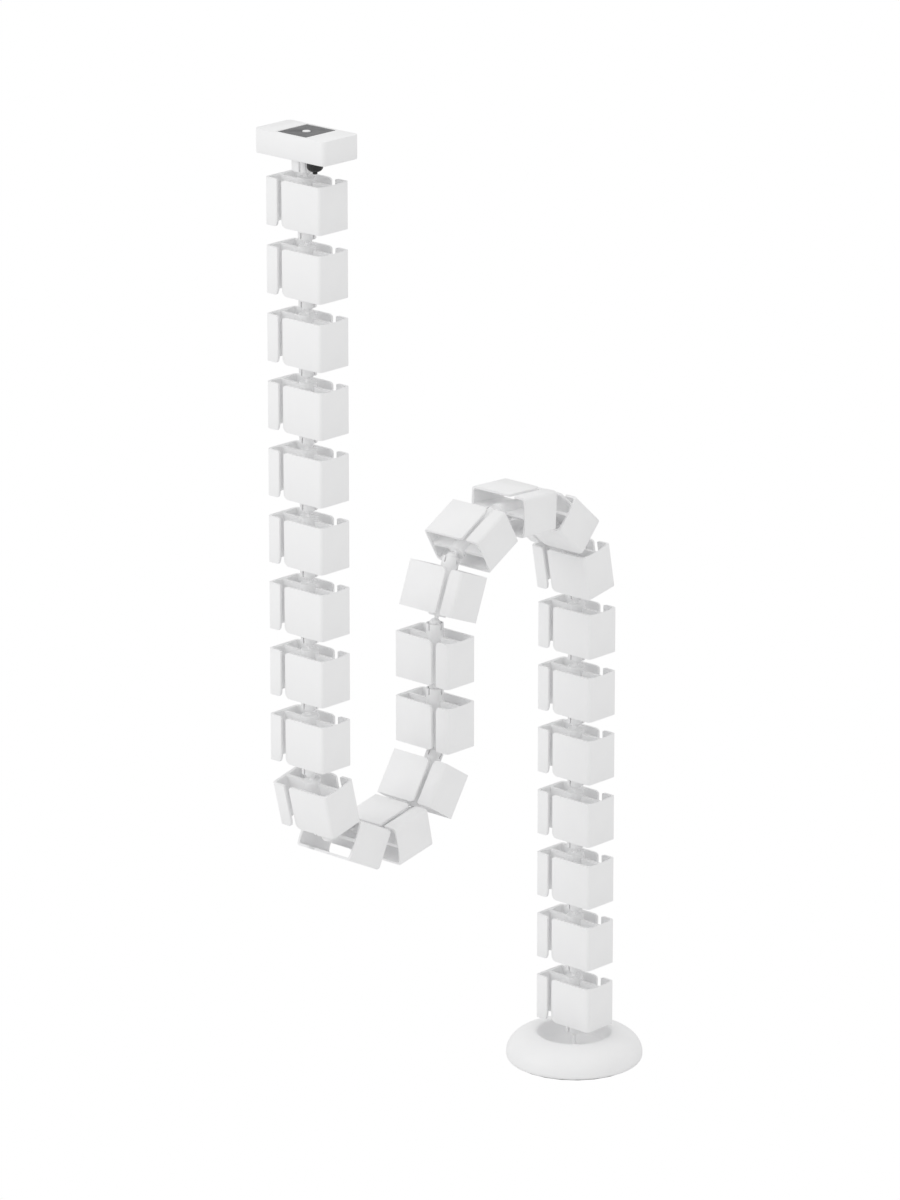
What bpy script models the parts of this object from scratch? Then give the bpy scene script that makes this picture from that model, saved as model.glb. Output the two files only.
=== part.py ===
"""Cable spine for a sit-stand desk: box links on ball joints, hung from a desk block, ending in a floor base.

Metres, +Z up. The origin is the centre of the desk block's top face. X is the links' wide side, and the
chain hangs in the plane x = 0, folded into an S toward +Y. Every link's origin is its ball centre, and each
one is parented to the link above it, so the whole shape follows from the bend at each joint.
"""
import math

import bmesh
import bpy
from mathutils import Matrix, Vector

# Links
link_count = 27
link_pitch = 0.0475
link_width = 0.051
link_depth = 0.029
link_height = 0.033
link_wall = 0.0018
link_corner = 0.0026
slot_from_end = 0.0114
slot_width = 0.0042
web_thickness = 0.0022
web_recess = 0.001
hub_recess = 0.003

# Ball joint
ball_radius = 0.0042
neck_radius = 0.0015
neck_root_radius = 0.0021
neck_root_height = 0.003
socket_clearance = 0.0008
socket_wall = 0.0013
socket_lip = 0.0009
socket_slit = 0.0014
slit_above_pivot = 0.0036

# Rest bend at the joint above each link, in degrees about X
rest_bend = {
    10: 14.0, 11: 50.0, 12: 38.0, 13: 45.5, 14: 32.5,
    16: -21.0, 17: -39.5, 18: -32.0, 19: -39.5, 20: -37.5, 21: -10.5,
}

# Desk block
block_width = 0.065
block_depth = 0.0345
block_height = 0.017
block_corner = 0.0036
block_to_pivot = 0.00875
plate_width = 0.0270
plate_depth = 0.0296
plate_thickness = 0.003
plate_recess = 0.0003
seat_gap = 0.0003
boss_radius = 0.0028
boss_clearance = 0.0004
knob_x = 0.0150
knob_y = -0.0075
knob_radius = 0.0055
knob_height = 0.0088
stem_radius = 0.0020
stem_length = 0.0090
stem_clearance = 0.0004

# Floor base
base_radius = 0.050
base_edge_height = 0.0040
base_edge_gap = 0.0009
rim_radius = 0.0280
rim_height = 0.0208
crater_floor_radius = 0.0200
crater_floor_height = 0.0092
base_pivot_height = 0.0219
base_wall = 0.0022
pad_thickness = 0.0017
disc_thickness = 0.0033
screw_radius = 0.0015
screw_head_radius = 0.0040
screw_head_height = 0.0017
screw_clearance = 0.0004
screw_boss_radius = 0.0052
screw_bite = 0.0060

# Facets
corner_segments = 2
hub_sides = 10
ball_segments = 8
ball_rings = 5
turn_steps = 24
small_turn_steps = 12

half_gap = (link_pitch - link_height) / 2
socket_radius = ball_radius + socket_clearance
hub_radius = socket_radius + socket_wall
first_pivot = -block_height - block_to_pivot


def clear_scene():
    for old in list(bpy.data.objects):
        bpy.data.objects.remove(old, do_unlink=True)


def new_collection(name):
    collection = bpy.data.collections.new(name)
    bpy.context.scene.collection.children.link(collection)
    return collection


def plastic(name, colour, roughness, metallic=0.0):
    material = bpy.data.materials.new(name)
    material.use_nodes = True
    shader = material.node_tree.nodes["Principled BSDF"]
    shader.inputs["Base Color"].default_value = (*colour, 1.0)
    shader.inputs["Roughness"].default_value = roughness
    shader.inputs["Metallic"].default_value = metallic
    return material


def add_object(name, mesh, collection, material=None):
    thing = bpy.data.objects.new(name, mesh)
    collection.objects.link(thing)
    if material is not None and not mesh.materials:
        mesh.materials.append(material)
    return thing


def mesh_from(bm, name):
    bmesh.ops.recalc_face_normals(bm, faces=bm.faces)
    mesh = bpy.data.meshes.new(name)
    bm.to_mesh(mesh)
    bm.free()
    return mesh


def block(name, low, high, collection, corner=0.0, segments=corner_segments):
    """A box between two corners, with its four upright edges rounded."""
    bm = bmesh.new()
    bmesh.ops.create_cube(bm, size=1.0)
    size = Vector(high) - Vector(low)
    middle = (Vector(high) + Vector(low)) / 2
    bmesh.ops.transform(bm, matrix=Matrix.Translation(middle) @ Matrix.Diagonal((*size, 1.0)), verts=bm.verts)
    if corner > 0.0:
        upright = [e for e in bm.edges if abs(e.verts[0].co.z - e.verts[1].co.z) > size.z / 2]
        bmesh.ops.bevel(bm, geom=upright, offset=corner, segments=segments, profile=0.5, affect="EDGES")
    return add_object(name, mesh_from(bm, name), collection)


def cone(name, radius_low, radius_high, low, high, collection, sides=hub_sides, centre=(0.0, 0.0)):
    """An upright cylinder or cone between two heights."""
    bm = bmesh.new()
    place = Matrix.Translation((centre[0], centre[1], (low + high) / 2))
    bmesh.ops.create_cone(bm, cap_ends=True, segments=sides, radius1=radius_low, radius2=radius_high,
                          depth=high - low, matrix=place)
    return add_object(name, mesh_from(bm, name), collection)


def sphere(name, radius, height, collection):
    bm = bmesh.new()
    bmesh.ops.create_uvsphere(bm, u_segments=ball_segments, v_segments=ball_rings, radius=radius,
                              matrix=Matrix.Translation((0.0, 0.0, height)))
    return add_object(name, mesh_from(bm, name), collection)


def boolean(target, tool, operation):
    change = target.modifiers.new(tool.name, "BOOLEAN")
    change.operation = operation
    change.solver = "EXACT"
    change.object = tool
    tool.hide_render = True
    tool.display_type = "WIRE"


def bake(target):
    """Replaces an object's mesh with its evaluated one, so that copies can share it."""
    depsgraph = bpy.context.evaluated_depsgraph_get()
    mesh = bpy.data.meshes.new_from_object(target.evaluated_get(depsgraph))
    target.modifiers.clear()
    target.data = mesh
    return mesh


def turned(name, profile, collection, steps):
    """A profile of (radius, height) points, listed down the outer side, turned about Z."""
    mesh = bpy.data.meshes.new(name)
    closed = profile[0][0] > 0.0
    edges = [(i, i + 1) for i in range(len(profile) - 1)]
    if closed:
        edges.append((len(profile) - 1, 0))
    mesh.from_pydata([(r, 0.0, z) for r, z in profile], edges, [])
    thing = add_object(name, mesh, collection)
    spin = thing.modifiers.new("turn", "SCREW")
    spin.steps = steps
    spin.render_steps = steps
    spin.use_merge_vertices = True
    spin.merge_threshold = 0.00001
    return thing


def shade(mesh, angle=35.0):
    mesh.shade_smooth()
    mesh.set_sharp_from_angle(angle=math.radians(angle))


def arc(centre_r, centre_z, radius, start, end, count):
    """Points on a circle in the profile plane, angles in degrees from the +R side."""
    points = []
    for i in range(count + 1):
        angle = math.radians(start + (end - start) * i / count)
        points.append((centre_r + radius * math.cos(angle), centre_z + radius * math.sin(angle)))
    return points


def add_socket(target, pivot, root, cutters, label):
    """A cup below a piece: its wall, the ball's hollow, and the slit that lets it spring onto the ball."""
    cup = cone(label + "_cup", hub_radius, hub_radius, pivot - socket_lip, root, cutters)
    boolean(target, cup, "UNION")
    hollow = sphere(label + "_hollow", socket_radius, pivot, cutters)
    boolean(target, hollow, "DIFFERENCE")
    reach = hub_radius + link_wall
    top = pivot + slit_above_pivot
    bottom = pivot - socket_lip - link_wall
    slit = block(label + "_slit", (-socket_slit / 2, -reach, bottom), (socket_slit / 2, reach, top), cutters)
    boolean(target, slit, "DIFFERENCE")


def make_link(parts, cutters, material):
    """One moulded link: two chambers either side of a web, a slot into each, a ball above, a socket below."""
    top = -half_gap
    bottom = -link_pitch + half_gap
    half_w, half_d = link_width / 2, link_depth / 2
    link = block("link_01", (-half_w, -half_d, bottom), (half_w, half_d, top), parts, link_corner)
    for side in (-1, 1):
        near, far = web_thickness / 2, half_d - link_wall
        low_y, high_y = sorted((side * near, side * far))
        chamber = block(f"chamber_{side}", (-half_w + link_wall, low_y, bottom - link_wall),
                        (half_w - link_wall, high_y, top + link_wall), cutters)
        boolean(link, chamber, "DIFFERENCE")
    for side in (-1, 1):
        start = side * (half_w - slot_from_end)
        end = start - side * slot_width
        low_x, high_x = sorted((start, end))
        low_y, high_y = sorted((side * (half_d - link_wall * 1.5), side * (half_d + link_wall)))
        slot = block(f"slot_{side}", (low_x, low_y, bottom - link_wall), (high_x, high_y, top + link_wall), cutters)
        boolean(link, slot, "DIFFERENCE")
    for low, high in ((top - web_recess, top + link_wall), (bottom - link_wall, bottom + web_recess)):
        notch = block("web_notch", (-half_w + link_wall, -web_thickness, low), (half_w - link_wall, web_thickness, high),
                      cutters)
        boolean(link, notch, "DIFFERENCE")
    hub_top = top - hub_recess
    add_socket(link, -link_pitch, hub_top, cutters, "link")
    neck = cone("neck", neck_root_radius, neck_radius, hub_top - web_recess, 0.0, cutters, ball_segments)
    ball = sphere("ball", ball_radius, 0.0, cutters)
    for piece in (neck, ball):
        boolean(link, piece, "UNION")
    mesh = bake(link)
    mesh.name = "link"
    mesh.materials.clear()
    mesh.materials.append(material)
    shade(mesh)
    return link, mesh


def hang_links(first, mesh, parts, hook):
    """Hangs every link from the one above it, turned by its rest bend."""
    above = hook
    for number in range(1, link_count + 1):
        link = first if number == 1 else add_object(f"link_{number:02d}", mesh, parts)
        link.parent = above
        link.location = (0.0, 0.0, first_pivot if number == 1 else -link_pitch)
        link.rotation_euler = (math.radians(rest_bend.get(number, 0.0)), 0.0, 0.0)
        above = link
    return above


def make_block(parts, cutters, material):
    """The housing that screws under the desk, with a pocket for its plate and a socket below."""
    half_w, half_d = block_width / 2, block_depth / 2
    housing = block("mount_housing", (-half_w, -half_d, -block_height), (half_w, half_d, 0.0), parts, block_corner, 3)
    pocket_depth = plate_recess + plate_thickness + seat_gap
    pocket_x, pocket_y = plate_width / 2 + seat_gap, plate_depth / 2 + seat_gap
    pocket = block("pocket", (-pocket_x, -pocket_y, -pocket_depth), (pocket_x, pocket_y, block_height), cutters)
    boolean(housing, pocket, "DIFFERENCE")
    boss = cone("boss", boss_radius, boss_radius, -block_height / 2, 0.0, cutters)
    boolean(housing, boss, "UNION")
    add_socket(housing, first_pivot, -block_height / 2, cutters, "housing")
    bore_radius = stem_radius + stem_clearance
    bore = cone("stem_bore", bore_radius, bore_radius, -block_height * 1.5,
                -block_height + stem_length + stem_clearance, cutters, small_turn_steps, (knob_x, knob_y))
    boolean(housing, bore, "DIFFERENCE")
    bake(housing)
    housing.data.materials.clear()
    housing.data.materials.append(material)
    shade(housing.data)
    return housing


def make_plate(parts, cutters, material, parent):
    half_w, half_d = plate_width / 2, plate_depth / 2
    high = -plate_recess
    plate = block("mount_plate", (-half_w, -half_d, high - plate_thickness), (half_w, half_d, high), parts)
    hole_radius = boss_radius + boss_clearance
    hole = cone("plate_hole", hole_radius, hole_radius, -block_height, block_height, cutters)
    boolean(plate, hole, "DIFFERENCE")
    bake(plate)
    plate.data.materials.clear()
    plate.data.materials.append(material)
    plate.parent = parent
    return plate


def make_knob(parts, material, parent):
    """The clamp knob: a round-ended head below the housing, and its stem in the housing's bore."""
    head_top = -seat_gap
    head_low = head_top - knob_height
    dome_start = head_top - knob_height + knob_radius * 0.62
    dome = [(knob_radius * math.cos(a), dome_start - (dome_start - head_low) * math.sin(a))
            for a in (math.radians(d) for d in (0, 25, 50, 70))]
    profile = [(0.0, stem_length), (stem_radius, stem_length), (stem_radius, head_top), (knob_radius, head_top)]
    profile += dome + [(0.0, head_low)]
    knob = turned("mount_knob", profile, parts, small_turn_steps)
    bake(knob)
    knob.data.materials.append(material)
    shade(knob.data, 30.0)
    knob.parent = parent
    knob.location = (knob_x, knob_y, -block_height)
    return knob


def dome_curve(inset, count):
    """The base's top from its rim out to its edge, moved inward by inset."""
    low = base_edge_height
    points = []
    for i in range(count + 1):
        angle = math.radians(90.0 * i / count)
        reach = rim_radius + (base_radius - rim_radius) * math.sin(angle)
        height = low + (rim_height - low) * math.cos(angle) ** 0.9
        points.append((reach - inset * math.sin(angle), height - inset * max(math.cos(angle), 0.0)))
    return points


def make_base(parts, cutters, materials, above):
    """The floor base: a turned cover with the last ball, a steel weight, a screw and a pad."""
    floor = -base_pivot_height

    def up(points):
        return [(r, z + floor) for r, z in points]

    ball_end = math.degrees(math.asin(neck_radius / ball_radius))
    ball = arc(0.0, base_pivot_height, ball_radius, 90.0, -90.0 + ball_end, 5)
    ball[0] = (0.0, ball[0][1])
    crater = [
        (neck_radius, crater_floor_height + neck_root_height * 1.4),
        (neck_root_radius * 1.4, crater_floor_height + base_wall * 0.4),
        (screw_boss_radius * 1.3, crater_floor_height),
        (crater_floor_radius, crater_floor_height),
        ((crater_floor_radius + rim_radius) / 2, crater_floor_height + base_wall * 1.2),
        (rim_radius - base_wall * 0.9, rim_height - base_wall * 2),
        (rim_radius - base_wall * 0.35, rim_height - base_wall * 0.3),
    ]
    ceiling = crater_floor_height - base_wall
    outside = dome_curve(0.0, 6) + [(base_radius - base_edge_gap, base_edge_gap * 1.6)]
    inside = [(base_radius - base_wall, base_edge_gap)]
    inside += dome_curve(base_wall, 4)[:0:-1]
    inside += [(rim_radius + base_wall * 0.6, rim_height - base_wall * 2), (crater_floor_radius + base_wall, ceiling)]
    boss_low = ceiling - base_wall * 0.6
    hole_radius = screw_radius + screw_clearance / 2
    boss = [(screw_boss_radius, ceiling), (screw_boss_radius, boss_low), (hole_radius, boss_low),
            (hole_radius, boss_low + screw_bite), (0.0, boss_low + screw_bite)]
    profile = ball + crater + outside + [(base_radius - base_wall * 0.6, base_edge_gap)] + inside + boss
    cover = turned("base_cover", up(profile), parts, turn_steps)
    bake(cover)
    cover.data.materials.append(materials["white"])
    shade(cover.data, 32.0)

    weight_low = pad_thickness + seat_gap
    weight_high = boss_low - seat_gap
    dome_inside = dome_curve(base_wall + seat_gap * 2, 4)
    ring_outer = [p for p in dome_inside if p[1] > weight_high][1:]
    ring_inner = rim_radius + base_wall * 1.6
    head_room = screw_head_radius + screw_clearance
    step = weight_low + screw_head_height + screw_clearance
    bore_radius = screw_radius + screw_clearance
    weight_profile = [(ring_inner, ring_outer[0][1] - base_wall / 2)] + ring_outer
    weight_profile += [(base_radius - base_wall * 1.5, weight_low + base_edge_gap), (base_radius - base_wall * 1.5, weight_low),
                       (head_room, weight_low), (head_room, step), (bore_radius, step),
                       (bore_radius, weight_high), (crater_floor_radius + base_wall * 1.5, weight_high)]
    weight = turned("base_weight", up(weight_profile), parts, turn_steps)
    bake(weight)
    weight.data.materials.append(materials["steel"])

    screw_profile = [(0.0, boss_low + screw_bite - seat_gap), (screw_radius, boss_low + screw_bite - seat_gap),
                     (screw_radius, weight_low + screw_head_height), (screw_head_radius, weight_low + screw_head_height),
                     (screw_head_radius, weight_low), (0.0, weight_low)]
    screw = turned("base_screw", up(screw_profile), parts, small_turn_steps)
    bake(screw)
    screw.data.materials.append(materials["steel"])

    pad_radius = base_radius - base_wall - seat_gap * 2
    pad = turned("base_pad", up([(0.0, pad_thickness), (pad_radius, pad_thickness), (pad_radius, 0.0), (0.0, 0.0)]),
                 parts, turn_steps)
    bake(pad)
    pad.data.materials.append(materials["rubber"])
    cover.parent = above
    cover.location = (0.0, 0.0, -link_pitch)
    for piece in (weight, screw, pad):
        piece.parent = cover


def main():
    clear_scene()
    parts = new_collection("cable_spine")
    cutters = new_collection("cutters")
    materials = {
        "white": plastic("white_plastic", (0.86, 0.86, 0.87), 0.42),
        "steel": plastic("dark_steel", (0.16, 0.16, 0.17), 0.4, 1.0),
        "black": plastic("black_plastic", (0.02, 0.02, 0.022), 0.45),
        "rubber": plastic("grey_rubber", (0.09, 0.09, 0.09), 0.8),
    }
    housing = make_block(parts, cutters, materials["white"])
    make_plate(parts, cutters, materials["steel"], housing)
    make_knob(parts, materials["black"], housing)
    first, mesh = make_link(parts, cutters, materials["white"])
    last = hang_links(first, mesh, parts, housing)
    make_base(parts, cutters, materials, last)


main()
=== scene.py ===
import bpy, bmesh, math
from mathutils import Matrix, Vector


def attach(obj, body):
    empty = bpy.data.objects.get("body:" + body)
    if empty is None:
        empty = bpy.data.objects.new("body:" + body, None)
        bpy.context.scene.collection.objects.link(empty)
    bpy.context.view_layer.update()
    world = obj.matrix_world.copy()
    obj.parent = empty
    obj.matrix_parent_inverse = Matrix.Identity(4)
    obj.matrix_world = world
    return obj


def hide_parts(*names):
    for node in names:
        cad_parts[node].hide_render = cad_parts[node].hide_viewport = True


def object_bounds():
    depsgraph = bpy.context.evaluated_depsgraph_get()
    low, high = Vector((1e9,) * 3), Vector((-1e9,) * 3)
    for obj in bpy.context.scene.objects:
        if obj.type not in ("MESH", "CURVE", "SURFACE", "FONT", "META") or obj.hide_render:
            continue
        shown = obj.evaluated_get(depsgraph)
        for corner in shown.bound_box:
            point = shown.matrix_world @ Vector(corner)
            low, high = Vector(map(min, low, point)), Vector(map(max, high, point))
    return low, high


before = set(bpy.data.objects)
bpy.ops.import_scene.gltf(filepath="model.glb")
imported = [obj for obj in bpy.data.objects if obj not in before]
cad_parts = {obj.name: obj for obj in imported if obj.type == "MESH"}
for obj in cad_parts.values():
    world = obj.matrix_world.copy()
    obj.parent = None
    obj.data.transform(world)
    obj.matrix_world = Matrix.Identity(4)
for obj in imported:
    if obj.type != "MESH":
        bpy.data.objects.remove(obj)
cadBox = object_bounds()
print("frame loaded", len(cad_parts), "nodes")

coll = bpy.data.collections.new("dressing")
bpy.context.scene.collection.children.link(coll)


def newObject(name, mesh, mats):
    ob = bpy.data.objects.new(name, mesh)
    coll.objects.link(ob)
    if not isinstance(mats, (list, tuple)):
        mats = [mats]
    for m in mats:
        mesh.materials.append(m)
    return ob


def smoothMesh(mesh, angle=30):
    mesh.shade_smooth()
    mesh.set_sharp_from_angle(angle=math.radians(angle))


def bakeMods(ob):
    dg = bpy.context.evaluated_depsgraph_get()
    me = bpy.data.meshes.new_from_object(ob.evaluated_get(dg))
    ob.modifiers.clear()
    old = ob.data
    ob.data = me
    bpy.data.meshes.remove(old)


def bevelled(ob, width, segs, angle=35):
    b = ob.modifiers.new("edges", "BEVEL")
    b.width = width
    b.segments = segs
    b.limit_method = "ANGLE"
    b.angle_limit = math.radians(angle)
    b.harden_normals = True
    b.use_clamp_overlap = True


def cutAway(ob, cut):
    mod = ob.modifiers.new("cut", "BOOLEAN")
    mod.operation = "DIFFERENCE"
    mod.solver = "EXACT"
    mod.object = cut
    bakeMods(ob)
    bpy.data.objects.remove(cut, do_unlink=True)


def boxMesh(name, matrix):
    bm = bmesh.new()
    bmesh.ops.create_cube(bm, size=1)
    bmesh.ops.transform(bm, matrix=matrix, verts=bm.verts)
    me = bpy.data.meshes.new(name)
    bm.to_mesh(me)
    bm.free()
    return me


def prismMesh(name, loop, low, high):
    """A flat outline carried straight up from low to high."""
    bm = bmesh.new()
    lows = [bm.verts.new((x, y, low)) for x, y in loop]
    highs = [bm.verts.new((x, y, high)) for x, y in loop]
    bm.faces.new(lows[::-1])
    bm.faces.new(highs)
    for i in range(len(loop)):
        j = (i + 1) % len(loop)
        bm.faces.new((lows[i], lows[j], highs[j], highs[i]))
    bmesh.ops.recalc_face_normals(bm, faces=bm.faces)
    me = bpy.data.meshes.new(name)
    bm.to_mesh(me)
    bm.free()
    return me


def filletPath(pts, step=14):
    """Round the corners of a closed 2D path. pts: (x, y, r)."""
    out = []
    n = len(pts)
    for i in range(n):
        x, y, r = pts[i]
        if r <= 0:
            out.append((x, y))
            continue
        p = Vector((x, y))
        a = Vector(pts[i - 1][:2]) - p
        b = Vector(pts[(i + 1) % n][:2]) - p
        la, lb = a.length, b.length
        a.normalize()
        b.normalize()
        half = a.angle(b) / 2
        t = min(r / math.tan(half), la * 0.49, lb * 0.49)
        rr = t * math.tan(half)
        c = p + (a + b).normalized() * (rr / math.sin(half))
        s = p + a * t - c
        e = p + b * t - c
        turn = s.angle_signed(e)
        k = max(2, int(math.degrees(abs(turn)) / step))
        for j in range(k + 1):
            v = s.copy()
            v.rotate(Matrix.Rotation(-turn * j / k, 2))
            out.append((c.x + v.x, c.y + v.y))
    return out


def lathe(name, profile, steps, mats, centre=(0, 0)):
    """Profile of (r, z) down the outside, spun round Z. r = 0 makes a pole."""
    bm = bmesh.new()
    rings = []
    for r, z in profile:
        if r < 1e-7:
            rings.append([bm.verts.new((centre[0], centre[1], z))])
        else:
            rings.append([bm.verts.new((centre[0] + r * math.cos(2 * math.pi * i / steps),
                                        centre[1] + r * math.sin(2 * math.pi * i / steps), z))
                          for i in range(steps)])
    for a, b in zip(rings, rings[1:]):
        for i in range(steps):
            j = (i + 1) % steps
            if len(a) == 1 and len(b) == 1:
                continue
            if len(a) == 1:
                bm.faces.new((a[0], b[i], b[j]))
            elif len(b) == 1:
                bm.faces.new((a[i], b[0], a[j]))
            else:
                bm.faces.new((a[i], b[i], b[j], a[j]))
    bmesh.ops.recalc_face_normals(bm, faces=bm.faces)
    me = bpy.data.meshes.new(name)
    bm.to_mesh(me)
    bm.free()
    return newObject(name, me, mats)


def arcPts(cr, cz, r, a0, a1, n):
    return [(cr + r * math.cos(math.radians(a0 + (a1 - a0) * i / n)),
             cz + r * math.sin(math.radians(a0 + (a1 - a0) * i / n))) for i in range(n + 1)]


# materials

def nodeMat(name):
    m = bpy.data.materials.new(name)
    m.use_nodes = True
    nt = m.node_tree
    return m, nt, nt.nodes["Principled BSDF"]


def addNoise(nt, coord, scale, detail, rough=0.5):
    n = nt.nodes.new("ShaderNodeTexNoise")
    n.inputs["Scale"].default_value = scale
    n.inputs["Detail"].default_value = detail
    n.inputs["Roughness"].default_value = rough
    nt.links.new(coord, n.inputs["Vector"])
    return n


def addRange(nt, src, lo, hi):
    r = nt.nodes.new("ShaderNodeMapRange")
    r.inputs["To Min"].default_value = lo
    r.inputs["To Max"].default_value = hi
    nt.links.new(src, r.inputs["Value"])
    return r.outputs["Result"]


def addRamp(nt, src, stops):
    c = nt.nodes.new("ShaderNodeValToRGB")
    while len(c.color_ramp.elements) < len(stops):
        c.color_ramp.elements.new(0.5)
    for e, (p, col) in zip(c.color_ramp.elements, stops):
        e.position = p
        e.color = (*col, 1)
    nt.links.new(src, c.inputs["Fac"])
    return c.outputs["Color"]


def addBump(nt, shader, src, strength, distance):
    b = nt.nodes.new("ShaderNodeBump")
    b.inputs["Strength"].default_value = strength
    b.inputs["Distance"].default_value = distance
    nt.links.new(src, b.inputs["Height"])
    nt.links.new(b.outputs["Normal"], shader.inputs["Normal"])


def whitePlastic():
    """Moulded white ABS: very fine spark grain, faint flow marks."""
    m, nt, s = nodeMat("white_plastic")
    tc = nt.nodes.new("ShaderNodeTexCoord")
    flow = addNoise(nt, tc.outputs["Object"], 38, 3)
    grain = addNoise(nt, tc.outputs["Object"], 2600, 4, 0.6)
    col = addRamp(nt, flow.outputs["Fac"], [(0.3, (0.905, 0.905, 0.909)), (0.7, (0.925, 0.925, 0.927))])
    nt.links.new(col, s.inputs["Base Color"])
    rough = addRange(nt, grain.outputs["Fac"], 0.36, 0.5)
    nt.links.new(rough, s.inputs["Roughness"])
    s.inputs["IOR"].default_value = 1.48
    s.inputs["Specular IOR Level"].default_value = 0.45
    addBump(nt, s, grain.outputs["Fac"], 0.12, 0.00008)
    return m


def darkSteel():
    """Zinc plated strip, rolled along X with fine scratches."""
    m, nt, s = nodeMat("dark_steel")
    tc = nt.nodes.new("ShaderNodeTexCoord")
    mp = nt.nodes.new("ShaderNodeMapping")
    mp.inputs["Scale"].default_value = (12, 900, 900)
    nt.links.new(tc.outputs["Object"], mp.inputs["Vector"])
    roll = addNoise(nt, mp.outputs["Vector"], 1.0, 4, 0.6)
    blotch = addNoise(nt, tc.outputs["Object"], 160, 3)
    col = addRamp(nt, blotch.outputs["Fac"], [(0.3, (0.135, 0.135, 0.14)), (0.7, (0.19, 0.19, 0.195))])
    nt.links.new(col, s.inputs["Base Color"])
    s.inputs["Metallic"].default_value = 0.75
    nt.links.new(addRange(nt, roll.outputs["Fac"], 0.38, 0.6), s.inputs["Roughness"])
    addBump(nt, s, roll.outputs["Fac"], 0.15, 0.00005)
    return m


def blackPlastic():
    """Black moulded knob, light sheen and a pebbled skin."""
    m, nt, s = nodeMat("black_plastic")
    tc = nt.nodes.new("ShaderNodeTexCoord")
    grain = addNoise(nt, tc.outputs["Object"], 1900, 3, 0.6)
    col = addRamp(nt, grain.outputs["Fac"], [(0.3, (0.003, 0.003, 0.0034)), (0.75, (0.007, 0.007, 0.0076))])
    nt.links.new(col, s.inputs["Base Color"])
    nt.links.new(addRange(nt, grain.outputs["Fac"], 0.3, 0.46), s.inputs["Roughness"])
    addBump(nt, s, grain.outputs["Fac"], 0.25, 0.0001)
    return m


def greyRubber():
    m, nt, s = nodeMat("grey_rubber")
    tc = nt.nodes.new("ShaderNodeTexCoord")
    cells = nt.nodes.new("ShaderNodeTexVoronoi")
    cells.inputs["Scale"].default_value = 700
    nt.links.new(tc.outputs["Object"], cells.inputs["Vector"])
    col = addRamp(nt, cells.outputs["Distance"], [(0.0, (0.05, 0.05, 0.05)), (0.8, (0.09, 0.09, 0.09))])
    nt.links.new(col, s.inputs["Base Color"])
    nt.links.new(addRange(nt, cells.outputs["Distance"], 0.65, 0.9), s.inputs["Roughness"])
    addBump(nt, s, cells.outputs["Distance"], 0.4, 0.0002)
    return m


white = whitePlastic()
steel = darkSteel()
black = blackPlastic()
rubber = greyRubber()
print("materials done")

# link, modelled once and shared

link = {
    "pitch": 0.0475, "w": 0.051, "d": 0.029, "top": -0.00725, "bottom": -0.04025,
    "wall": 0.0018, "corner": 0.0026, "web": 0.0022, "webDrop": 0.001,
    "slotStart": 0.0141, "slotEnd": 0.0099, "edge": 0.00042, "panelRound": 0.0042,
    "stubRoundX": 0.0024, "stubRoundZ": 0.0050,
    "hubTop": -0.0058, "hubR": 0.0062, "cupR": 0.0050, "ballR": 0.0042,
    "neckR": 0.0015, "neckFoot": 0.0021, "lip": 0.0009,
    "slit": 0.0012, "slitHalf": 0.0036, "slitLong": 0.016,
}


def halfSection(v):
    """Half of the wall's section seen from above. The other half is this one turned by 180 degrees."""
    hw, hd, w = v["w"] / 2, v["d"] / 2, v["wall"]
    ri = v["corner"] - w * 0.55
    hweb = v["web"] / 2
    # front panel from its free edge, round the right side, to the back stub, and home along the inside
    return [
        (-v["slotEnd"], -hd, 0.0),
        (hw, -hd, v["corner"]),
        (hw, hd, v["corner"]),
        (v["slotStart"], hd, 0.0),
        (v["slotStart"], hd - w, 0.0),
        (hw - w, hd - w, ri),
        (hw - w, hweb, 0.0009),
        (w - hw, hweb, 0.0009),
        (w - hw, hd - w, ri),
        (v["slotEnd"], hd - w, 0.0),
    ]


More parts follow.
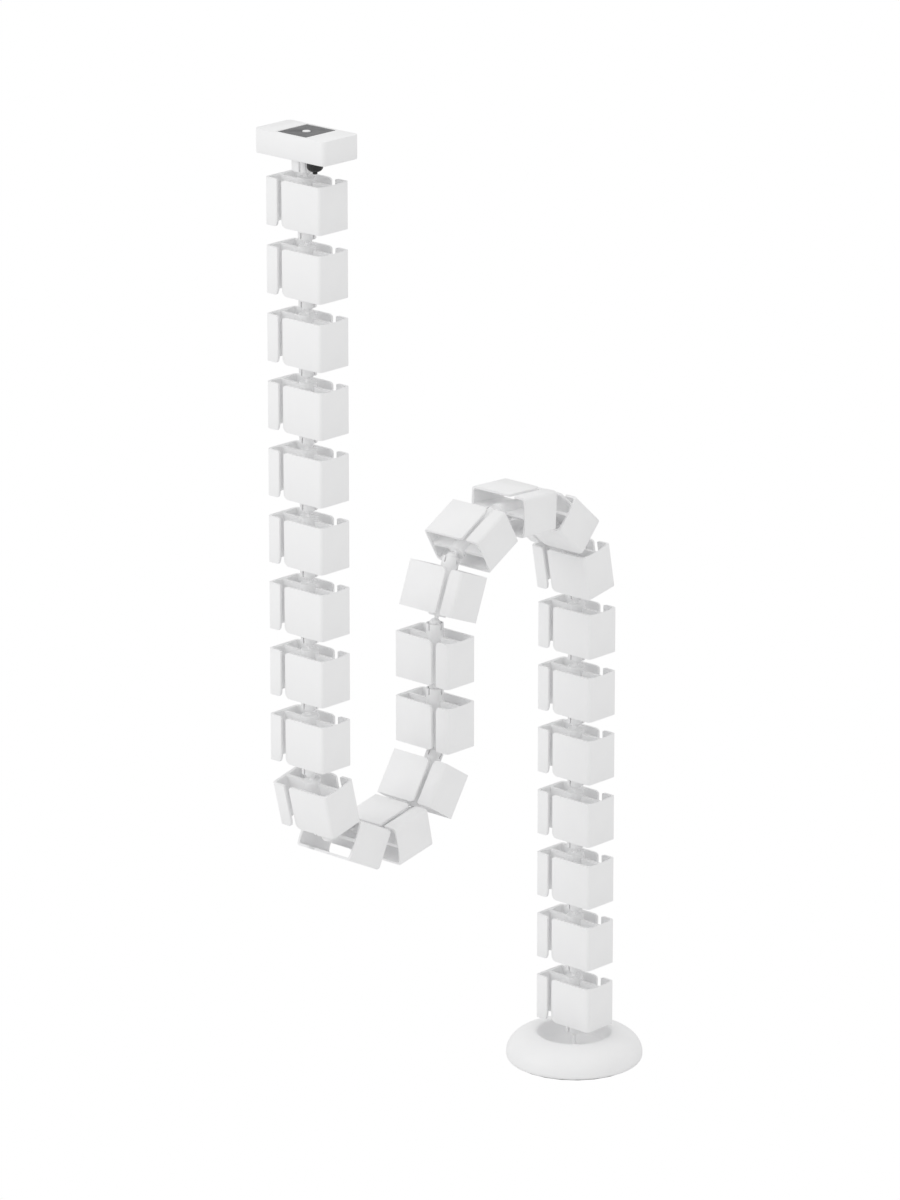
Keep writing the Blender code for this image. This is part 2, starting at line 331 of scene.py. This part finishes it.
def linkWalls(v):
    a = halfSection(v)
    loop = filletPath(a + [(-x, -y, r) for x, y, r in a])
    # more points on the panels, so the rounded corners by the slots come out round
    fine = []
    for i, p in enumerate(loop):
        q = loop[(i + 1) % len(loop)]
        fine.append(p)
        long = math.dist(p, q)
        if long > 0.006 and abs(p[1] - q[1]) < 1e-6 and abs(p[1]) > 0.01:
            free = p if abs(p[0]) < abs(q[0]) else q
            other = q if free is p else p
            sgn = 1 if other[0] > free[0] else -1
            reach = v["panelRound"] if long > 0.02 else v["stubRoundX"]
            cuts = [free[0] + sgn * reach * (1 - math.cos(math.radians(t))) for t in range(15, 91, 15)]
            if free is q:
                cuts = cuts[::-1]
            fine += [(c, p[1]) for c in cuts]
    bm = bmesh.new()

    def heights(x, y):
        lo, hi = v["bottom"], v["top"]
        onWeb = abs(y) < v["web"] / 2 + 0.0011 and abs(x) < v["w"] / 2 - v["wall"] + 1e-5
        if onWeb:
            return lo + v["webDrop"], hi - v["webDrop"]
        s = -1 if y < 0 else 1
        d = s * (-x) + v["slotEnd"] if s > 0 else x + v["slotEnd"]
        if abs(y) > v["d"] / 2 - v["wall"] - 1e-5 and -1e-6 <= d < v["panelRound"]:
            drop = v["panelRound"] - math.sqrt(max(0, v["panelRound"] ** 2 - (v["panelRound"] - d) ** 2))
            return lo + drop, hi - drop * 0.45
        d = s * x - v["slotStart"]
        if abs(y) > v["d"] / 2 - v["wall"] - 1e-5 and -1e-6 <= d < v["stubRoundX"]:
            drop = v["stubRoundZ"] * (1 - math.sqrt(max(0, 1 - (1 - d / v["stubRoundX"]) ** 2)))
            return lo + drop, hi - drop * 0.2
        return lo, hi

    low = [bm.verts.new((x, y, heights(x, y)[0])) for x, y in fine]
    high = [bm.verts.new((x, y, heights(x, y)[1])) for x, y in fine]
    n = len(fine)
    bm.faces.new(low[::-1])
    bm.faces.new(high)
    for i in range(n):
        j = (i + 1) % n
        bm.faces.new((low[i], low[j], high[j], high[i]))
    bmesh.ops.recalc_face_normals(bm, faces=bm.faces)
    bmesh.ops.triangulate(bm, faces=[f for f in bm.faces if len(f.verts) > 4])
    me = bpy.data.meshes.new("link_walls")
    bm.to_mesh(me)
    bm.free()
    ob = newObject("link_walls", me, white)
    bevelled(ob, v["edge"], 3, 40)
    bakeMods(ob)
    return ob


def cutSlits(ob, pivot):
    """Two crossed slits through a cup, so it springs over its ball."""
    v = link
    for ang in (0, 90):
        turned = Matrix.Translation((0, 0, pivot)) @ Matrix.Rotation(math.radians(ang), 4, "Z")
        slit = turned @ Matrix.Diagonal((v["slitLong"], v["slit"], 2 * v["slitHalf"], 1))
        cutAway(ob, newObject("slit", boxMesh("slit", slit), white))
    bevelled(ob, 0.00016, 1, 50)
    bakeMods(ob)


def linkHub(v):
    """Hub with the socket cup at its foot, slit into four springy fingers."""
    p = -v["pitch"]
    r, e = v["hubR"], 0.0004
    prof = [(0, v["hubTop"]), (v["neckFoot"] * 1.2, v["hubTop"])]
    prof += arcPts(r - e, v["hubTop"] - e, e, 90, 0, 3)
    prof += [(r, p + 0.0042), (r, p - v["lip"] + e)]
    prof += arcPts(r - e, p - v["lip"] + e, e, 0, -90, 3)[1:]
    mouth = math.degrees(math.asin(v["lip"] / v["cupR"]))
    prof += arcPts(0, p, v["cupR"], -mouth, 90, 12)
    prof[-1] = (0, prof[-1][1])
    hub = lathe("link_hub", prof, 48, white)
    cutSlits(hub, p)
    return hub


def linkNeck(v):
    end = math.degrees(math.asin(v["neckR"] / v["ballR"]))
    prof = arcPts(0, 0, v["ballR"], 90, -90 + end, 18)
    prof[0] = (0, prof[0][1])
    z0, z1 = prof[-1][1], v["hubTop"]
    prof += [(v["neckR"], z0 + (z1 - z0) * 0.6), (v["neckR"] * 1.12, z0 + (z1 - z0) * 0.8),
             (v["neckFoot"], z1), (v["neckFoot"] * 1.1, z1 - 0.0006), (0, z1 - 0.0006)]
    return lathe("link_neck", prof, 32, white)


def joinMeshes(obs, name):
    bm = bmesh.new()
    for o in obs:
        bm.from_mesh(o.data)
    me = bpy.data.meshes.new(name)
    bm.to_mesh(me)
    bm.free()
    me.materials.append(white)
    for o in obs:
        bpy.data.objects.remove(o, do_unlink=True)
    return me


linkMesh = joinMeshes([linkWalls(link), linkHub(link), linkNeck(link)], "link")
smoothMesh(linkMesh, 32)
print("link mesh", len(linkMesh.polygons), "faces")

# degrees each link turns on the one above it, as the chain stands in the S
bend = {
    10: 14, 11: 50, 12: 38, 13: 45.5, 14: 32.5,
    16: -21, 17: -39.5, 18: -32, 19: -39.5, 20: -37.5, 21: -10.5,
}
firstPivot = -0.02575
linkCount = 27
place = Matrix.Translation((0, 0, firstPivot))
for k in range(1, linkCount + 1):
    if k > 1:
        place = place @ Matrix.Translation((0, 0, -link["pitch"]))
    place = place @ Matrix.Rotation(math.radians(bend.get(k, 0)), 4, "X")
    name = f"link_{k:02d}"
    ob = bpy.data.objects.new(name + "_skin", linkMesh)
    coll.objects.link(ob)
    ob.matrix_world = place
    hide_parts(name)
    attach(ob, name)
basePlace = place @ Matrix.Translation((0, 0, -link["pitch"]))
print("links placed")

# desk block

mount = {
    "w": 0.065, "d": 0.0345, "h": 0.017, "corner": 0.0036, "edge": 0.0006,
    "px": 0.0138, "py": 0.0151, "pd": 0.0036, "bossR": 0.0028,
    "hubR": 0.0062, "cupR": 0.0050, "lip": 0.0009, "pivot": firstPivot,
    "collarR": 0.0101, "collarWall": 0.0014, "collar": 0.0098,
    "grooves": (-74, -47, 106, 133), "groove": 0.0014, "grooveDeep": 0.0009,
    "knob": (0.015, -0.0075), "boreR": 0.0024, "bore": 0.0094,
}


def mountBody(v):
    hw, hd = v["w"] / 2, v["d"] / 2
    c = v["corner"]
    loop = filletPath([(-hw, -hd, c), (hw, -hd, c), (hw, hd, c), (-hw, hd, c)], step=12)
    ob = newObject("mount_body", prismMesh("mount_body", loop, -v["h"], 0), white)
    bevelled(ob, v["edge"], 3, 60)
    bakeMods(ob)
    pocket = boxMesh("pocket", Matrix.Diagonal((v["px"] * 2, v["py"] * 2, v["pd"] * 2, 1)))
    cutAway(ob, newObject("pocket", pocket, white))
    roof, under = v["bore"] - v["h"], -v["h"] - 0.01
    bore = [(0, roof), (v["boreR"], roof), (v["boreR"], under), (0, under)]
    cutAway(ob, lathe("bore", bore, 32, white, centre=v["knob"]))
    bevelled(ob, 0.00018, 2, 60)
    bakeMods(ob)
    return ob


def mountCup(v):
    p, r, e = v["pivot"], v["hubR"], 0.0004
    mouth = math.degrees(math.asin(v["lip"] / v["cupR"]))
    prof = [(0, -0.0085), (r, -0.0085), (r, p - v["lip"] + e)]
    prof += arcPts(r - e, p - v["lip"] + e, e, 0, -90, 3)[1:]
    prof += arcPts(0, p, v["cupR"], -mouth, 90, 12)
    prof[-1] = (0, prof[-1][1])
    cup = lathe("mount_cup", prof, 48, white)
    cutSlits(cup, p)
    return cup


def mountCollar(v):
    """Collar round the first cup, grooved down its side."""
    r, low, e = v["collarR"], -v["h"] - v["collar"], 0.0005
    prof = [(0, -0.0095), (r, -0.0095), (r, low + e)] + arcPts(r - e, low + e, e, 0, -90, 3)[1:]
    inner = r - v["collarWall"]
    prof += [(inner + 0.0003, low), (inner, low + 0.0003), (inner, -v["h"] - 0.0001), (0, -v["h"] - 0.0001)]
    collar = lathe("mount_collar", prof, 72, white)
    for ang in v["grooves"]:
        turned = Matrix.Rotation(math.radians(ang), 4, "Z") @ Matrix.Translation((r, 0, low))
        groove = turned @ Matrix.Diagonal((v["grooveDeep"] * 2, v["groove"], v["collar"] * 1.9, 1))
        cutAway(collar, newObject("groove", boxMesh("groove", groove), white))
    bevelled(collar, 0.00018, 1, 50)
    bakeMods(collar)
    return collar


def mountBoss(v):
    e = 0.0003
    prof = [(0, 0)] + arcPts(v["bossR"] - e, -e, e, 90, 0, 3) + [(v["bossR"], -0.006), (0, -0.006)]
    return lathe("mount_boss", prof, 32, white)


mountMesh = joinMeshes([mountBody(mount), mountCup(mount), mountCollar(mount), mountBoss(mount)], "mount")
smoothMesh(mountMesh, 32)
housing = bpy.data.objects.new("mount_shell", mountMesh)
coll.objects.link(housing)
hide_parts("mount_housing")
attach(housing, "mount")

plate = {"w": 0.027, "d": 0.0296, "t": 0.003, "top": -0.0003, "hole": 0.0032, "corner": 0.0006, "edge": 0.0002}


def steelPlate(v):
    hw, hd = v["w"] / 2, v["d"] / 2
    c = v["corner"]
    loop = filletPath([(-hw, -hd, c), (hw, -hd, c), (hw, hd, c), (-hw, hd, c)], step=30)
    ob = newObject("plate_skin", prismMesh("plate", loop, v["top"] - v["t"], v["top"]), steel)
    cut = lathe("hole", [(0, 0.01), (v["hole"], 0.01), (v["hole"], -0.01), (0, -0.01)], 48, steel)
    cutAway(ob, cut)
    bevelled(ob, v["edge"], 2, 60)
    bakeMods(ob)
    smoothMesh(ob.data, 32)
    return ob


plateOb = steelPlate(plate)
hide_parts("mount_plate")
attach(plateOb, "mount")

knob = {
    "x": 0.015, "y": -0.0075, "z": -0.0173, "r": 0.0055, "h": 0.0074, "tipR": 0.0017, "tip": 0.0014,
    "stemR": 0.002, "stem": 0.009, "ribs": 18,
}


def clampKnob(v):
    """Round ended knob, its rim ribbed for the fingers."""
    top, low, stemTop = v["z"], v["z"] - v["h"], v["z"] + v["stem"]
    prof = [(0, stemTop), (v["stemR"] - 0.0003, stemTop), (v["stemR"], stemTop - 0.0003), (v["stemR"], top),
            (v["r"] - 0.0005, top), (v["r"] - 0.0001, top - 0.0002), (v["r"], top - 0.0006)]
    start = low + v["r"] * 0.62
    body = [(v["r"], top - 0.0018), (v["r"], start + 0.0006)]
    dome = [(v["r"] * math.cos(math.radians(a)), start - (start - low) * math.sin(math.radians(a)))
            for a in range(0, 71, 7)]
    end = low - v["tip"]
    prof += body + dome + [(v["tipR"], low), (v["tipR"], end + 0.0003), (v["tipR"] - 0.0003, end), (0, end)]
    ob = lathe("knob_skin", prof, 144, black, centre=(v["x"], v["y"]))
    for vert in ob.data.vertices:
        dx, dy = vert.co.x - v["x"], vert.co.y - v["y"]
        r = math.hypot(dx, dy)
        if r > v["r"] * 0.8 and vert.co.z < top - 0.0003:
            a = math.atan2(dy, dx)
            k = 1 - 0.035 * (0.5 - 0.5 * math.cos(a * v["ribs"])) * min(1, (r / v["r"] - 0.8) / 0.15)
            vert.co.x = v["x"] + dx * k
            vert.co.y = v["y"] + dy * k
    smoothMesh(ob.data, 40)
    return ob


knobOb = clampKnob(knob)
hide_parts("mount_knob")
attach(knobOb, "knob")
print("mount done")

# floor base, profile heights above the floor

base = {
    "r": 0.050, "edgeH": 0.0040, "gap": 0.0009, "rimR": 0.028, "rimH": 0.0208,
    "craterR": 0.020, "craterH": 0.0092, "pivot": 0.0219, "wall": 0.0022,
    "ballR": 0.0042, "neckR": 0.0015, "neckFoot": 0.0029,
}


def domeAt(v, deg, inset=0.0):
    a = math.radians(deg)
    r = v["rimR"] + (v["r"] - v["rimR"]) * math.sin(a)
    z = v["edgeH"] + (v["rimH"] - v["edgeH"]) * max(math.cos(a), 0) ** 0.9
    return r - inset * math.sin(a), z - inset * max(math.cos(a), 0)


def baseCover(v):
    end = math.degrees(math.asin(v["neckR"] / v["ballR"]))
    prof = arcPts(0, v["pivot"], v["ballR"], 90, -90 + end, 18)
    prof[0] = (0, prof[0][1])
    ch = v["craterH"]
    prof += [(v["neckR"], ch + 0.0050), (v["neckR"] * 1.1, ch + 0.0030), (v["neckFoot"] * 0.8, ch + 0.0012),
             (v["neckFoot"] * 1.05, ch + 0.0004), (v["neckFoot"] * 1.5, ch + 0.0001), (0.0105, ch),
             (v["craterR"] - 0.002, ch), (v["craterR"], ch + 0.0002), (v["craterR"] + 0.0022, ch + 0.0011)]
    prof += [(0.0236, ch + 0.0031), (0.0252, ch + 0.0063), (0.0262, ch + 0.0090),
             (0.0268, v["rimH"] - 0.0009), (0.0272, v["rimH"] - 0.0004)]
    prof += [domeAt(v, d) for d in (2, 6, 11, 17, 23, 29, 35, 41, 47, 53, 59, 65, 71, 77, 83, 87)]
    prof += [(v["r"], v["edgeH"] + 0.0002), (v["r"], v["edgeH"] - 0.0006), (v["r"] - 0.0003, 0.0022),
             (v["r"] - 0.0011, 0.0011), (v["r"] - 0.0016, v["gap"]), (v["r"] - v["wall"], v["gap"])]
    prof += [domeAt(v, d, v["wall"]) for d in range(88, 8, -8)]
    ceiling, boss = ch - v["wall"], ch - v["wall"] * 1.5
    prof += [(0.0295, 0.0160), (0.0225, ceiling), (0.0060, ceiling), (0.0052, boss),
             (0.0018, boss), (0.0018, boss + 0.006), (0, boss + 0.006)]
    ob = lathe("base_skin", prof, 160, white)
    smoothMesh(ob.data, 38)
    return ob


baseOb = baseCover(base)
baseOb.matrix_world = basePlace @ Matrix.Translation((0, 0, -base["pivot"]))
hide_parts("base_cover")
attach(baseOb, "base")
for name, mat in (("base_weight", steel), ("base_screw", steel), ("base_pad", rubber)):
    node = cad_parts[name]
    node.data.materials.clear()
    node.data.materials.append(mat)
print("base done")

# stage, light and camera

floorZ = cadBox[0][2]


def stageFloor():
    me = bpy.data.meshes.new("floor")
    half = 6
    corners = [(-half, -half, floorZ), (half, -half, floorZ), (half, half, floorZ), (-half, half, floorZ)]
    me.from_pydata(corners, [], [(0, 1, 2, 3)])
    m, nt, p = nodeMat("stage_floor")
    out = nt.nodes["Material Output"]
    p.inputs["Base Color"].default_value = (0.9, 0.9, 0.9, 1)
    p.inputs["Roughness"].default_value = 0.9
    em = nt.nodes.new("ShaderNodeEmission")
    em.inputs["Strength"].default_value = 1
    lp = nt.nodes.new("ShaderNodeLightPath")
    mx = nt.nodes.new("ShaderNodeMixShader")
    nt.links.new(lp.outputs["Is Camera Ray"], mx.inputs["Fac"])
    nt.links.new(p.outputs["BSDF"], mx.inputs[1])
    nt.links.new(em.outputs["Emission"], mx.inputs[2])
    nt.links.new(mx.outputs["Shader"], out.inputs["Surface"])
    ob = newObject("stage_floor", me, m)


def studioWorld(light, seen):
    w = bpy.data.worlds.new("studio")
    bpy.context.scene.world = w
    w.use_nodes = True
    nt = w.node_tree
    bg = nt.nodes["Background"]
    bg.inputs["Color"].default_value = (1, 1, 1, 1)
    bg.inputs["Strength"].default_value = light
    bg2 = nt.nodes.new("ShaderNodeBackground")
    bg2.inputs["Strength"].default_value = seen
    lp = nt.nodes.new("ShaderNodeLightPath")
    mx = nt.nodes.new("ShaderNodeMixShader")
    nt.links.new(lp.outputs["Is Camera Ray"], mx.inputs["Fac"])
    nt.links.new(bg.outputs["Background"], mx.inputs[1])
    nt.links.new(bg2.outputs["Background"], mx.inputs[2])
    nt.links.new(mx.outputs["Shader"], nt.nodes["World Output"].inputs["Surface"])


def areaLight(name, loc, target, size, power):
    d = bpy.data.lights.new(name, "AREA")
    d.shape = "RECTANGLE"
    d.size, d.size_y = size
    d.energy = power
    ob = bpy.data.objects.new(name, d)
    coll.objects.link(ob)
    ob.location = loc
    ob.rotation_euler = (Vector(target) - Vector(loc)).to_track_quat("-Z", "Y").to_euler()


stageFloor()
studioWorld(0.81, 1.0)
areaLight("key", (-1.5, -3.2, 1.6), (0, 0.1, -0.35), (2.2, 2.2), 22)
areaLight("top", (0.4, -0.4, 2.4), (0, 0.1, -0.35), (2.0, 2.0), 6)

cam = bpy.data.cameras.new("photo")
cam.sensor_fit = "VERTICAL"
cam.sensor_height = 36
cam.sensor_width = 27
cam.lens = 196.3
cam.clip_end = 50
camOb = bpy.data.objects.new("photo", cam)
coll.objects.link(camOb)
az, down = math.radians(42.72), math.radians(17.2)
camOb.location = (2.9744, -3.0793, 0.9958)
look = Vector((-math.sin(az) * math.cos(down), math.cos(az) * math.cos(down), -math.sin(down)))
camOb.rotation_euler = look.to_track_quat("-Z", "Y").to_euler()
bpy.context.scene.camera = camOb
bpy.context.scene.view_settings.view_transform = "Standard"
bpy.context.scene.view_settings.look = "None"
bpy.context.scene.cycles.diffuse_bounces = 10
